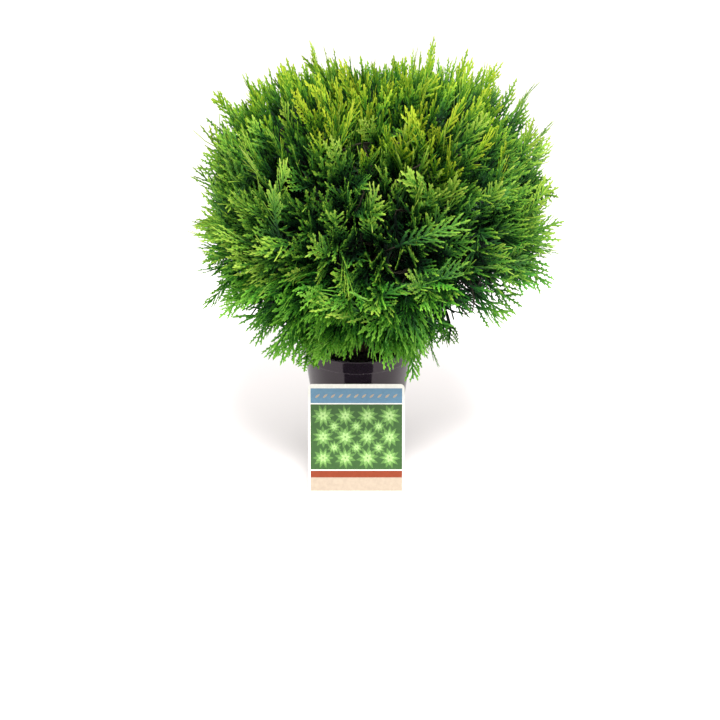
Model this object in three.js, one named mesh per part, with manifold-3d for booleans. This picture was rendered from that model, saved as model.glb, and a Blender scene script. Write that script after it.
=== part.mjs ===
// A potted dwarf arborvitae: a round, dense shrub of flat toothed sprays in a glossy nursery pot,
// with a blank picture label leaning on the pot's front.
// Millimetres, +Z up. The origin is the centre of the pot's flat underside, and the front is -Y.

import * as THREE from 'three';
import { mergeVertices } from 'three/addons/utils/BufferGeometryUtils.js';
import Module from 'manifold-3d';

const wasm = await Module();
wasm.setup();

// Clearance between touching pieces, and from foliage to a limb that it passes
const GAP = 0.3;
const LIMB_MARGIN = 0.9;

// Pot
const POT_HEIGHT = 125;
const RIM_RADIUS = 52.5;
const BAND_HEIGHT = 12.5;
const BAND_TAPER = 0.8;
const BAND_STEP = 1.3;
const LIP_ROUND = 0.8;
const WALL_TAPER = Math.tan(THREE.MathUtils.degToRad(7));
const WALL_THICKNESS = 1.6;
const FLOOR_THICKNESS = 2.2;
const FOOT_ROUND = 1.5;
const POT_SIDES = 40;
const DRAIN_HOLES = 6;
const DRAIN_RADIUS = 3.6;
const DRAIN_RING = 26;
const DRAIN_SIDES = 8;

// Potting soil
const SOIL_EDGE_DROP = 13;
const SOIL_TOP_DROP = 10;
const SOIL_FLAT_RADIUS = 16;
const SOIL_TOP = POT_HEIGHT - SOIL_TOP_DROP;

// Trunk, from its cut at the soil to its tip
const TRUNK_RADII = [9.5, 6.6, 5.4, 4.9, 4.4, 3.9, 3.3, 2.6];
const TRUNK_SIDES = 10;
const TRUNK_CUT_OFF = 5;
const TRUNK_END = 0.43;
const TRUNK_SWAY = 4;

// Crown: a squarish dome over a round bowl of leaf, trimmed a little in front and fuller low left
const CROWN_CENTRE = new THREE.Vector3(17, 0, 248.5);
const CROWN_RADIUS = 157;
const CROWN_RISE = 128.5;
const CROWN_DROP = 134;
const FRONT_LIFT = 8;
const DOME_SQUARENESS = 3.05;
const BOWL_SQUARENESS = 2;
const BULGE = 0.1;
const BULGE_DIRECTION = new THREE.Vector3(-0.75, -0.2, -0.65).normalize();
const BULGE_FALL = 6;
const FOLIAGE_OVER_RIM = 4;
const FOLIAGE_OFF_RIM = 5;
const FOLIAGE_BELOW_RIM = 8;

// Rings of masses, from the top down, with the stretch of trunk that each ring's boughs leave from.
// The stride puts neighbours in a ring at different heights of that stretch. A bough ends at a dip
// below its mass's axis, at a fraction of the crown's reach there, so that it still rises at its tip.
const RINGS = [
  { name: 'top', count: 1, elevation: 90, turn: 0 },
  { name: 'upper', count: 5, elevation: 38, turn: 18, from: 212, to: 266, stride: 2, dip: 8, end: 0.43 },
  { name: 'middle', count: 7, elevation: -1, turn: 38, from: 160, to: 209, stride: 3, dip: 10, end: 0.43 },
  { name: 'lower', count: 5, elevation: -47, turn: 54, from: 130, to: 158, stride: 2, dip: 14, end: 0.56 },
];

// Boughs
const BOUGH_RADII = [2.9, 2.4, 2, 1.7];
const BOUGH_SIDES = 5;
const BOUGH_SEED = 2;
const BOUGH_LIFT_LEAST = 5;
const BOUGH_LIFT_MOST = 13;
const LIMB_SAMPLES = 24;

// Stem, twigs, core and sprays of one mass. An end or heart is a fraction of the crown's reach.
const STEM_END = 0.55;
const STEM_RADII = [1.7, 1.6, 1.5];
const TWIG_END = 0.7;
const TWIG_RADII = [1.2, 0.9];
const TWIG_SIDES = 3;
const TWIG_SEED = 3;
const CORE_HEART = 0.61;
const CORE_OFF_LIMB = 6;
const CORE_END = 0.77;
const CORE_DETAIL = 1;
const CORE_RIPPLE = 0.04;
const CORE_SEED = 20;
const SPACE_MARGIN = 0.9;

// Each mass has a few twigs, each with a row of sprays at its alternate sides
const TWIGS = 5;
const SPRAYS_PER_TWIG = 2;
const MASS_SPREAD = THREE.MathUtils.degToRad(35);
const TWIG_ANGLE = THREE.MathUtils.degToRad(19);
const SPRAY_THICKNESS = 1.2;
const SPRAY_HALF_WIDTH = 0.36;
const SPRAY_WHIRL = 0.6;
const SPRAY_ROLLS = 9;
const ROLL_JITTER = 0.7;
const PULLS = [1, 0.94, 0.88, 0.82, 0.76, 0.7, 0.62, 0.5];
const TIP_NEAR = 0.93;
const TIP_FAR = 1.03;
const SPRAY_SEED = 40;
const SPRAY_SEED_STEP = 10;

// Picture label that leans on the pot's front
const LABEL_WIDTH = 87;
const LABEL_LENGTH = 111;
const LABEL_TOP = 102;
const LABEL_THICKNESS = 0.8;
const LABEL_CORNER = 3.6;
const LABEL_SHIFT = -1.4;

const LABEL_CORNER_STEPS = 2;

const UP = new THREE.Vector3(0, 0, 1);
const NEARLY_UP = new THREE.Vector3(0.3, 0.2, 1);
const part = new THREE.Group();

// A number from 0 to 1 that depends only on its two seeds
function chance(seed, step) {
  const wave = Math.sin(seed * 12.9898 + step * 78.233) * 43758.5453;
  return wave - Math.floor(wave);
}

// The geometry with shared vertices and no flat triangles
function welded(geometry) {
  const bare = geometry.clone();
  bare.deleteAttribute('normal');
  bare.deleteAttribute('uv');
  const merged = mergeVertices(bare, 1e-4);
  const index = merged.index.array;
  const kept = [];
  for (let i = 0; i < index.length; i += 3) {
    const [a, b, c] = [index[i], index[i + 1], index[i + 2]];
    if (a !== b && b !== c && c !== a) kept.push(a, b, c);
  }
  merged.setIndex(kept);
  return merged;
}

function toSolid(geometry) {
  const closed = welded(geometry);
  return new wasm.Manifold(new wasm.Mesh({
    numProp: 3,
    vertProperties: new Float32Array(closed.attributes.position.array),
    triVerts: new Uint32Array(closed.index.array),
  }));
}

function toGeometry(solid) {
  const mesh = solid.getMesh();
  const geometry = new THREE.BufferGeometry();
  geometry.setAttribute('position', new THREE.BufferAttribute(mesh.vertProperties, 3));
  geometry.setIndex(new THREE.BufferAttribute(mesh.triVerts, 1));
  geometry.computeVertexNormals();
  return geometry;
}

// The largest of the bodies that cutting or joining left
function mainBody(solid) {
  return solid.decompose().reduce((most, body) => (body.volume() > most.volume() ? body : most));
}

function addMesh(name, geometry, material) {
  const mesh = new THREE.Mesh(geometry, material);
  mesh.name = name;
  part.add(mesh);
  return mesh;
}

function finish(color, roughness) {
  return new THREE.MeshStandardMaterial({ color, roughness, metalness: 0 });
}

// A round rod turned about its length, with the given radii at even steps, then bent along the curve
function limb(curve, radii, sides) {
  const steps = radii.length - 1;
  const profile = [new THREE.Vector2(0, 0)];
  radii.forEach((radius, i) => profile.push(new THREE.Vector2(radius, i / steps)));
  profile.push(new THREE.Vector2(0, 1));
  const geometry = new THREE.LatheGeometry(profile, sides);
  const frames = curve.computeFrenetFrames(steps, false);
  const places = frames.tangents.map((_, i) => curve.getPointAt(i / steps));
  const position = geometry.attributes.position;
  for (let i = 0; i < position.count; i += 1) {
    const step = Math.round(position.getY(i) * steps);
    const place = places[step].clone()
      .addScaledVector(frames.binormals[step], position.getX(i))
      .addScaledVector(frames.normals[step], position.getZ(i));
    position.setXYZ(i, place.x, place.y, place.z);
  }
  return geometry;
}

// Crown shape

// How far the crown reaches from its centre in a direction: a superellipsoid with one low bulge
function crownReach(direction) {
  const across = Math.hypot(direction.x, direction.y);
  const front = Math.max(0, -direction.y);
  const up = direction.z > 0;
  const height = up ? CROWN_RISE : CROWN_DROP - FRONT_LIFT * front;
  const power = up ? DOME_SQUARENESS : BOWL_SQUARENESS;
  const sum = (across / CROWN_RADIUS) ** power + (Math.abs(direction.z) / height) ** power;
  const bulge = BULGE * Math.max(0, direction.dot(BULGE_DIRECTION)) ** BULGE_FALL;
  return sum ** (-1 / power) * (1 + bulge);
}

// The point at a fraction of the crown's reach in a direction from its centre
function crownPoint(direction, fraction) {
  return CROWN_CENTRE.clone().addScaledVector(direction, fraction * crownReach(direction));
}

function directionAt(turn, elevation) {
  const across = Math.cos(elevation);
  return new THREE.Vector3(across * Math.cos(turn), across * Math.sin(turn), Math.sin(elevation));
}

// The masses of every ring. Each owns the directions that are nearest to its axis.
function layOutMasses() {
  const masses = [];
  for (const ring of RINGS) {
    for (let i = 0; i < ring.count; i += 1) {
      const turn = THREE.MathUtils.degToRad(ring.turn + (360 * i) / ring.count);
      const seed = masses.length + 1;
      masses.push({
        ring,
        index: i,
        seed,
        turn,
        label: ring.count > 1 ? `${ring.name}_${i + 1}` : ring.name,
        axis: directionAt(turn, THREE.MathUtils.degToRad(ring.elevation)),
      });
    }
  }
  return masses;
}

function clearOfPot(point) {
  const out = Math.hypot(point.x, point.y);
  const overPot = out < RIM_RADIUS + FOLIAGE_OFF_RIM;
  return point.z > POT_HEIGHT + (overPot ? FOLIAGE_OVER_RIM : -FOLIAGE_BELOW_RIM);
}

// True where a point is in the mass's own wedge of the crown and no further out than the fraction
function inSpace(mass, point, fraction) {
  const offset = point.clone().sub(CROWN_CENTRE);
  if (offset.length() > fraction * crownReach(offset.clone().normalize())) return false;
  if (!clearOfPot(point)) return false;
  return masses.every((other) => {
    if (other === mass) return true;
    const across = mass.axis.clone().sub(other.axis);
    return offset.dot(across) > SPACE_MARGIN * across.length();
  });
}

// Limbs

// The trunk leans with the crown and sways a little on its way up
function trunkCurve() {
  const foot = new THREE.Vector3(0, 0, SOIL_TOP + GAP - TRUNK_CUT_OFF);
  const tip = crownPoint(UP, TRUNK_END);
  const low = foot.clone().lerp(tip, 0.3).add(new THREE.Vector3(-TRUNK_SWAY, TRUNK_SWAY / 2, 0));
  const high = foot.clone().lerp(tip, 0.7).add(new THREE.Vector3(TRUNK_SWAY, -TRUNK_SWAY / 2, 0));
  return new THREE.CatmullRomCurve3([foot, low, high, tip]);
}

// The trunk's axis point at a height
function trunkAt(height) {
  const foot = trunk.curve.getPointAt(0).z;
  const tip = trunk.curve.getPointAt(1).z;
  return trunk.curve.getPointAt((height - foot) / (tip - foot));
}

// The trunk's rod, cut level where it meets the soil
function trunkSolid() {
  const block = new THREE.BoxGeometry(4 * TRUNK_RADII[0], 4 * TRUNK_RADII[0], 2 * TRUNK_CUT_OFF);
  block.translate(0, 0, SOIL_TOP + GAP - TRUNK_CUT_OFF);
  return toSolid(limb(trunk.curve, TRUNK_RADII, TRUNK_SIDES)).subtract(toSolid(block));
}

// A bough rises out of the trunk and levels off a little towards its mass
function boughCurve(mass) {
  const { from, to, stride, count, elevation, dip, end } = mass.ring;
  const root = trunkAt(THREE.MathUtils.lerp(from, to, ((mass.index * stride) % count) / count));
  const dipped = THREE.MathUtils.degToRad(elevation - dip);
  const tip = crownPoint(directionAt(mass.turn, dipped), end);
  const middle = root.clone().lerp(tip, 0.5);
  middle.z += THREE.MathUtils.lerp(BOUGH_LIFT_LEAST, BOUGH_LIFT_MOST, chance(mass.seed, BOUGH_SEED));
  return new THREE.QuadraticBezierCurve3(root, middle, tip);
}

// Points along a limb's axis, each with the limb's radius there or a little more
function limbPoints(curve, radii) {
  return Array.from({ length: LIMB_SAMPLES + 1 }, (_, i) => ({
    place: curve.getPointAt(i / LIMB_SAMPLES),
    radius: radii[Math.floor((i / LIMB_SAMPLES) * (radii.length - 1))],
  }));
}

function clearOfLimbs(point) {
  return limbSamples.every(({ place, radius }) => place.distanceTo(point) > radius + LIMB_MARGIN);
}

// Masses

// A core fills most of its mass's wedge, from a plane past its limb's tip to an inner shell of the crown
function massCore(mass) {
  const heart = crownPoint(mass.axis, CORE_HEART);
  const innerPlane = limbTip(mass).place.sub(CROWN_CENTRE).dot(mass.axis) + CORE_OFF_LIMB;
  const geometry = welded(new THREE.IcosahedronGeometry(1, CORE_DETAIL));
  const position = geometry.attributes.position;
  for (let i = 0; i < position.count; i += 1) {
    const direction = new THREE.Vector3().fromBufferAttribute(position, i).normalize();
    const open = (distance) => {
      const point = heart.clone().addScaledVector(direction, distance);
      const along = point.clone().sub(CROWN_CENTRE).dot(mass.axis);
      return along > innerPlane && inSpace(mass, point, CORE_END) && clearOfLimbs(point);
    };
    let distance = 0;
    while (open(distance + 1)) distance += 1;
    distance *= 1 - CORE_RIPPLE * chance(mass.seed, CORE_SEED + i);
    const place = heart.clone().addScaledVector(direction, distance);
    position.setXYZ(i, place.x, place.y, place.z);
  }
  return toSolid(geometry).subtract(grownTrunk);
}

// A spray's outline from its stalk round to its stalk: forward teeth leave its axis at alternate sides.
// Each pair is a fraction of the length and of the half width.
const SPRAY_OUTLINE = [
  [0, -0.1], [0.24, -0.11], [0.54, -1], [0.52, -0.3], [0.87, -0.62], [0.83, -0.14],
  [1, 0],
  [0.68, 0.22], [0.72, 0.95], [0.36, 0.14], [0, 0.1],
];

function sprayOutline(length) {
  const half = SPRAY_HALF_WIDTH * length;
  return SPRAY_OUTLINE.map(([along, out]) => new THREE.Vector2(along * length, out * half));
}

// The frame of a spray: it runs from root to tip and faces its mass's axis, but for the roll
function sprayFrame(mass, root, tip, roll) {
  const along = tip.clone().sub(root).normalize();
  const around = new THREE.Vector3().crossVectors(mass.axis, along).normalize();
  const across = around.applyAxisAngle(along, roll);
  const face = new THREE.Vector3().crossVectors(along, across);
  return new THREE.Matrix4().makeBasis(along, across, face).setPosition(root);
}

function sprayFits(mass, outline, frame) {
  return outline.every((corner) => {
    const point = new THREE.Vector3(corner.x, corner.y, 0).applyMatrix4(frame);
    const middle = new THREE.Vector3(corner.x, 0, 0).applyMatrix4(frame);
    const inside = inSpace(mass, point, TIP_FAR) && inSpace(mass, middle, TIP_FAR);
    return inside && clearOfLimbs(point) && clearOfLimbs(middle);
  });
}

// The direction at an angle off the mass's axis, turned about it
function offAxis(mass, angle, turn) {
  const side = new THREE.Vector3().crossVectors(mass.axis, NEARLY_UP).normalize();
  const off = mass.axis.clone().applyAxisAngle(side, angle);
  return off.applyAxisAngle(mass.axis, turn);
}

// A spray from its root on a twig to the crown's face, turned and drawn in until it fits its space
function fittedSpray(mass, root, angle, turn, step) {
  const reach = TIP_NEAR + (TIP_FAR - TIP_NEAR) * chance(mass.seed, step);
  const firstRoll = ROLL_JITTER * (chance(mass.seed, step + 1) - 0.5);
  for (const pull of PULLS) {
    const tip = crownPoint(offAxis(mass, angle * pull, turn), reach);
    const outline = sprayOutline(root.distanceTo(tip));
    for (let i = 0; i < SPRAY_ROLLS; i += 1) {
      const turned = (i % 2 ? 1 : -1) * Math.ceil(i / 2) * (Math.PI / SPRAY_ROLLS);
      const frame = sprayFrame(mass, root, tip, firstRoll + turned);
      if (sprayFits(mass, outline, frame)) {
        const blade = new THREE.ExtrudeGeometry(new THREE.Shape(outline), {
          depth: SPRAY_THICKNESS,
          bevelEnabled: false,
        });
        blade.translate(0, 0, -SPRAY_THICKNESS / 2);
        return blade.applyMatrix4(frame);
      }
    }
  }
  return null;
}

// The furthest twig tip off the mass's axis that still lies in its space
function fittedTwigTip(mass, turn) {
  const tips = PULLS.map((pull) => crownPoint(offAxis(mass, pull * TWIG_ANGLE, turn), TWIG_END));
  return tips.find((tip) => inSpace(mass, tip, 1) && clearOfLimbs(tip));
}

// A twig and its sprays. What finds no room in the mass's space is skipped.
function growTwig(mass, twig, fork) {
  const middleTurn = ((twig + chance(mass.seed, TWIG_SEED)) * 2 * Math.PI) / TWIGS;
  const twigTip = fittedTwigTip(mass, middleTurn);
  if (!twigTip) return [];
  const pieces = [limb(new THREE.LineCurve3(fork, twigTip), TWIG_RADII, TWIG_SIDES)];
  for (let i = 0; i < SPRAYS_PER_TWIG; i += 1) {
    const side = i % 2 ? 1 : -1;
    const step = SPRAY_SEED + SPRAY_SEED_STEP * (twig * SPRAYS_PER_TWIG + i);
    const angle = MASS_SPREAD * Math.sqrt((i + 0.5) / SPRAYS_PER_TWIG);
    const turn = middleTurn + (side * SPRAY_WHIRL * 2 * Math.PI) / TWIGS;
    const root = fork.clone().lerp(twigTip, (i + 1) / SPRAYS_PER_TWIG);
    const spray = fittedSpray(mass, root, angle, turn, step);
    if (spray) pieces.push(spray);
  }
  return pieces;
}

// The stem runs from its bough's tip into the core, then twigs fan out and carry the sprays
function growMass(mass) {
  const tip = limbTip(mass);
  const start = tip.place.clone().addScaledVector(tip.along, GAP);
  const fork = crownPoint(mass.axis, STEM_END);
  const bend = start.clone().addScaledVector(tip.along, start.distanceTo(fork) / 2);
  const stem = new THREE.QuadraticBezierCurve3(start, bend, fork);
  const pieces = [limb(stem, STEM_RADII, BOUGH_SIDES)];
  for (let twig = 0; twig < TWIGS; twig += 1) pieces.push(...growTwig(mass, twig, fork));
  return mainBody(pieces.map(toSolid).reduce((joined, piece) => joined.add(piece), massCore(mass)));
}

// Where the limb that carries a mass ends, and which way it points there
function limbTip(mass) {
  const curve = mass.bough ? mass.bough.curve : trunk.curve;
  return { place: curve.getPointAt(1), along: curve.getTangentAt(1) };
}

// Pot, soil and label

// The outer radius of the wall below the rim band at a height
function wallRadius(height) {
  const top = RIM_RADIUS - BAND_TAPER - BAND_STEP;
  return top - (POT_HEIGHT - BAND_HEIGHT - height) * WALL_TAPER;
}

function potSolid() {
  const bandFoot = POT_HEIGHT - BAND_HEIGHT;
  const profile = [
    [0, 0],
    [wallRadius(0) - FOOT_ROUND, 0],
    [wallRadius(FOOT_ROUND), FOOT_ROUND],
    [wallRadius(bandFoot), bandFoot],
    [RIM_RADIUS - BAND_TAPER, bandFoot + LIP_ROUND],
    [RIM_RADIUS, POT_HEIGHT - LIP_ROUND],
    [RIM_RADIUS - LIP_ROUND, POT_HEIGHT],
    [RIM_RADIUS - WALL_THICKNESS, POT_HEIGHT - LIP_ROUND],
    [wallRadius(bandFoot) - WALL_THICKNESS, bandFoot],
    [wallRadius(FLOOR_THICKNESS) - WALL_THICKNESS, FLOOR_THICKNESS],
    [0, FLOOR_THICKNESS],
  ];
  const points = profile.map(([radius, height]) => new THREE.Vector2(radius, height));
  const lathe = new THREE.LatheGeometry(points, POT_SIDES);
  let pot = toSolid(lathe.rotateX(Math.PI / 2));
  for (let i = 0; i < DRAIN_HOLES; i += 1) {
    const turn = (2 * Math.PI * i) / DRAIN_HOLES;
    const hole = new THREE.CylinderGeometry(DRAIN_RADIUS, DRAIN_RADIUS, 3 * FLOOR_THICKNESS, DRAIN_SIDES);
    hole.rotateX(Math.PI / 2);
    hole.translate(DRAIN_RING * Math.cos(turn), DRAIN_RING * Math.sin(turn), 0);
    pot = pot.subtract(toSolid(hole));
  }
  return pot;
}

function soilGeometry() {
  const foot = FLOOR_THICKNESS + GAP;
  const edge = POT_HEIGHT - SOIL_EDGE_DROP;
  const inside = (height) => wallRadius(height) - WALL_THICKNESS - GAP;
  const profile = [
    [0, foot],
    [inside(foot), foot],
    [inside(edge), edge],
    [SOIL_FLAT_RADIUS, SOIL_TOP],
    [0, SOIL_TOP],
  ];
  const points = profile.map(([radius, height]) => new THREE.Vector2(radius, height));
  return new THREE.LatheGeometry(points, POT_SIDES).rotateX(Math.PI / 2);
}

// The label stands on its lower edge, and its upper edge rests against the wall
function addLabel(material) {
  const half = LABEL_WIDTH / 2 - LABEL_CORNER;
  const shape = new THREE.Shape();
  shape.absarc(half, LABEL_CORNER, LABEL_CORNER, -Math.PI / 2, 0);
  shape.absarc(half, LABEL_LENGTH - LABEL_CORNER, LABEL_CORNER, 0, Math.PI / 2);
  shape.absarc(-half, LABEL_LENGTH - LABEL_CORNER, LABEL_CORNER, Math.PI / 2, Math.PI);
  shape.absarc(-half, LABEL_CORNER, LABEL_CORNER, Math.PI, (3 * Math.PI) / 2);
  const geometry = new THREE.ExtrudeGeometry(shape, {
    depth: LABEL_THICKNESS,
    bevelEnabled: false,
    curveSegments: LABEL_CORNER_STEPS,
  });
  const run = Math.sqrt(LABEL_LENGTH ** 2 - LABEL_TOP ** 2);
  const label = addMesh('label_card', geometry, material);
  label.position.set(LABEL_SHIFT, -(wallRadius(LABEL_TOP) + GAP + run), GAP);
  label.rotation.x = Math.atan2(LABEL_TOP, run);
}

const glossyBlack = finish(0x1c1b20, 0.22);
const darkSoil = finish(0x2a2019, 0.95);
const bark = finish(0x6a4c36, 0.85);
const card = finish(0xe9ecdf, 0.4);
const topGreen = finish(0x8fb52f, 0.6);
const sideGreen = finish(0x5c9a2c, 0.6);
const lowGreen = finish(0x437f27, 0.6);
const greens = { top: topGreen, upper: topGreen, middle: sideGreen, lower: lowGreen };

addMesh('pot', toGeometry(potSolid()), glossyBlack);
addMesh('potting_soil', soilGeometry(), darkSoil);
addLabel(card);

const trunk = { curve: trunkCurve() };
addMesh('trunk', toGeometry(trunkSolid()), bark);

const masses = layOutMasses();
const limbSamples = limbPoints(trunk.curve, TRUNK_RADII);
const grownTrunk = toSolid(limb(trunk.curve, TRUNK_RADII.map((radius) => radius + GAP), TRUNK_SIDES));

for (const mass of masses) {
  if (mass.ring.name !== 'top') {
    mass.bough = { curve: boughCurve(mass) };
    limbSamples.push(...limbPoints(mass.bough.curve, BOUGH_RADII));
    const rod = toSolid(limb(mass.bough.curve, BOUGH_RADII, BOUGH_SIDES));
    addMesh(`bough_${mass.label}`, toGeometry(mainBody(rod.subtract(grownTrunk))), bark);
  }
}

for (const mass of masses) {
  addMesh(`foliage_${mass.label}`, toGeometry(growMass(mass)), greens[mass.ring.name]);
}

export default part;
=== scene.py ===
import math

import bpy
import numpy as np
from bpy.props import FloatProperty, FloatVectorProperty, IntProperty, PointerProperty
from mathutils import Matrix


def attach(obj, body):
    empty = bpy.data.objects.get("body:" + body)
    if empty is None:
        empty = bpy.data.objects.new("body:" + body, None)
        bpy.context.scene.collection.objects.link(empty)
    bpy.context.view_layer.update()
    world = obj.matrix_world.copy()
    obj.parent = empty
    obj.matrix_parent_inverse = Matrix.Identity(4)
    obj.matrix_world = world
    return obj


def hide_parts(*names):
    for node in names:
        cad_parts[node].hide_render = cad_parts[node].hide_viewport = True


bl_info = {
    "name": "Potted arborvitae",
    "version": (1, 0, 0),
    "blender": (4, 5, 0),
    "location": "View3D > Sidebar > Arborvitae",
    "description": "Builds a round dwarf arborvitae in a glossy pot with a picture label",
    "category": "Add Mesh",
}

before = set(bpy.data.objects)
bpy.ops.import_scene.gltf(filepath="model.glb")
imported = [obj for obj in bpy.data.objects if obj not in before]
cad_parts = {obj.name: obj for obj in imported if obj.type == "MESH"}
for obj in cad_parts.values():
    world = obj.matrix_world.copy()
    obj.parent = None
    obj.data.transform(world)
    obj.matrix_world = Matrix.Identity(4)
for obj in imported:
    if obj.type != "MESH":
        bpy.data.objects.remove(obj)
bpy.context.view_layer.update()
MM = 0.001
GAP = 0.3 * MM
UP = np.array([0.0, 0.0, 1.0])
NEARLY_UP = np.array([0.3, 0.2, 1.0])
FULL_TURN = 2 * math.pi
GOLDEN_TURN = math.pi * (3 - math.sqrt(5))

# Crown: a squarish dome over a round bowl of leaf, trimmed a little in front and fuller low left
CROWN_CENTRE = np.array([17.0, 0.0, 248.5]) * MM
CROWN_RADIUS = 157 * MM
CROWN_RISE = 128.5 * MM
CROWN_DROP = 134 * MM
FRONT_LIFT = 8 * MM
DOME_SQUARENESS = 3.05
BOWL_SQUARENESS = 2.0
BULGE = 0.1
BULGE_DIRECTION = np.array([-0.75, -0.2, -0.65]) / math.hypot(0.75, 0.2, 0.65)
BULGE_FALL = 6

# Rings of masses from the top down: count, elevation, first turn, stretch of trunk that the boughs
# leave from, stride along it, dip of a bough's tip below its mass's axis, and its end in the reach
RINGS = (
    ("top", 1, 90, 0, None, None, 0, 0, 0),
    ("upper", 5, 38, 18, 212 * MM, 266 * MM, 2, 8, 0.43),
    ("middle", 7, -1, 38, 160 * MM, 209 * MM, 3, 10, 0.43),
    ("lower", 5, -47, 54, 130 * MM, 158 * MM, 2, 14, 0.56),
)

# Limbs
SOIL_TOP = 115 * MM
TRUNK_RADII = np.array([9.5, 6.6, 5.4, 4.9, 4.4, 3.9, 3.3, 2.6]) * MM
TRUNK_CUT_OFF = 5 * MM
TRUNK_END = 0.43
TRUNK_SWAY = 4 * MM
BOUGH_RADII = np.array([2.9, 2.4, 2.0, 1.7]) * MM
BOUGH_SEED = 2
BOUGH_LIFTS = (5 * MM, 13 * MM)
STEM_END = 0.55
STEM_RADII = np.array([1.7, 1.6, 1.5]) * MM
TWIG_SEED = 3
DENSE = 160


# ---- numbers and curves


def unit(vectors):
    """Each vector divided by its length."""
    return vectors / np.linalg.norm(vectors, axis=-1, keepdims=True)


def dot(a, b):
    """The sum of products over the last axis, kept as a column."""
    return np.sum(a * b, axis=-1, keepdims=True)


def chance(seed, step):
    """The fraction of a large multiple of sin(seed and step): a number from 0 to 1 for each pair."""
    wave = np.sin(seed * 12.9898 + step * 78.233) * 43758.5453
    return wave - np.floor(wave)


def smooth_step(value, low, high):
    """3t^2 - 2t^3, where t runs from 0 at low to 1 at high and stays there."""
    t = np.clip((value - low) / (high - low), 0.0, 1.0)
    return t * t * (3 - 2 * t)


def turns(count):
    """The angles of a number of even steps round a circle."""
    return np.arange(count) * FULL_TURN / count


def bezier(start, middle, end, s):
    """(1-s)^2 start + 2s(1-s) middle + s^2 end."""
    return (1 - s) ** 2 * start + 2 * s * (1 - s) * middle + s**2 * end


def bezier_along(start, middle, end, s):
    """Direction of that curve: (1-s)(middle - start) + s(end - middle), as a unit vector."""
    return unit((1 - s) * (middle - start) + s * (end - middle))


def point_along(path, fraction):
    """Points at fractions of a dense path's length, by linear steps between its points."""
    lengths = np.concatenate([[0], np.cumsum(np.linalg.norm(np.diff(path, axis=0), axis=1))])
    wanted = np.atleast_1d(fraction) * lengths[-1]
    return np.stack([np.interp(wanted, lengths, path[:, axis]) for axis in range(3)], axis=-1)


def lattice_noise(points, size, seed):
    """Value noise from -1 to 1: chance() at the corners of cells of the given size, blended by
    3t^2 - 2t^3 along each axis."""
    cells = points / size
    low = np.floor(cells)
    t = smooth_step(cells - low, 0, 1)
    total = np.zeros(points.shape[:-1])
    for corner in np.ndindex(2, 2, 2):
        at = low + corner
        key = at[..., 0] * 1.7 + at[..., 1] * 57.1 + at[..., 2] * 113.3
        total += np.prod(np.where(corner, t, 1 - t), axis=-1) * chance(key, seed)
    return 2 * total - 1


# ---- crown rule


def crown_reach(direction):
    """Reach of a superellipsoid: ((across/radius)^p + (|z|/height)^p)^(-1/p), with its own p and
    height above and below, times 1 + b max(0, cos)^6 of the angle off the bulge's direction."""
    across = np.hypot(direction[..., 0], direction[..., 1])
    front = np.maximum(0.0, -direction[..., 1])
    rising = direction[..., 2] > 0
    height = np.where(rising, CROWN_RISE, CROWN_DROP - FRONT_LIFT * front)
    power = np.where(rising, DOME_SQUARENESS, BOWL_SQUARENESS)
    total = (across / CROWN_RADIUS) ** power + (np.abs(direction[..., 2]) / height) ** power
    bulge = BULGE * np.maximum(0.0, direction @ BULGE_DIRECTION) ** BULGE_FALL
    return (total ** (-1 / power) * (1 + bulge))[..., None]


def crown_point(direction, fraction):
    """The crown's centre plus a fraction of its reach along a direction."""
    return CROWN_CENTRE + direction * crown_reach(direction) * fraction


def reach_fraction(points):
    """How far out points lie, as a fraction of the crown's reach in their direction."""
    offset = points - CROWN_CENTRE
    distance = np.linalg.norm(offset, axis=-1)
    return distance / crown_reach(unit(offset))[..., 0]


def direction_at(turn, elevation):
    """(cos e cos t, cos e sin t, sin e)."""
    across = math.cos(elevation)
    return np.array([across * math.cos(turn), across * math.sin(turn), math.sin(elevation)])


def off_axis(axis, angle, turn):
    """The axis tipped by an angle about its side vector, then turned about itself."""
    side = unit(np.cross(axis, NEARLY_UP))
    tipped = axis * np.cos(angle) + np.cross(side, axis) * np.sin(angle)
    around = np.cross(axis, tipped)
    along = axis * dot(tipped, axis)
    return along + (tipped - along) * np.cos(turn) + around * np.sin(turn)


def trunk_path():
    """Centripetal Catmull-Rom curve through foot, low, high and tip, as a dense row of points."""
    foot = np.array([0, 0, SOIL_TOP + GAP - TRUNK_CUT_OFF])
    tip = crown_point(UP, TRUNK_END)
    sway = np.array([TRUNK_SWAY, -TRUNK_SWAY / 2, 0])
    low = foot + 0.3 * (tip - foot) - sway
    high = foot + 0.7 * (tip - foot) + sway
    knots = [2 * foot - low, foot, low, high, tip, 2 * tip - high]
    rows = []
    for before, start, end, after in zip(knots, knots[1:], knots[2:], knots[3:]):
        pairs = (before, start), (start, end), (end, after)
        spans = [np.linalg.norm(b - a) ** 0.5 for a, b in pairs]
        leave = (start - before) / spans[0] - (end - before) / (spans[0] + spans[1])
        leave = (leave + (end - start) / spans[1]) * spans[1]
        arrive = (end - start) / spans[1] - (after - start) / (spans[1] + spans[2])
        arrive = (arrive + (after - end) / spans[2]) * spans[1]
        t = np.linspace(0, 1, DENSE, endpoint=False)[:, None]
        cubic = 2 * start - 2 * end + leave + arrive
        square = 3 * (end - start) - 2 * leave - arrive
        rows.append(start + leave * t + square * t**2 + cubic * t**3)
    return np.vstack([*rows, knots[4][None]])


TRUNK_PATH = trunk_path()


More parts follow.
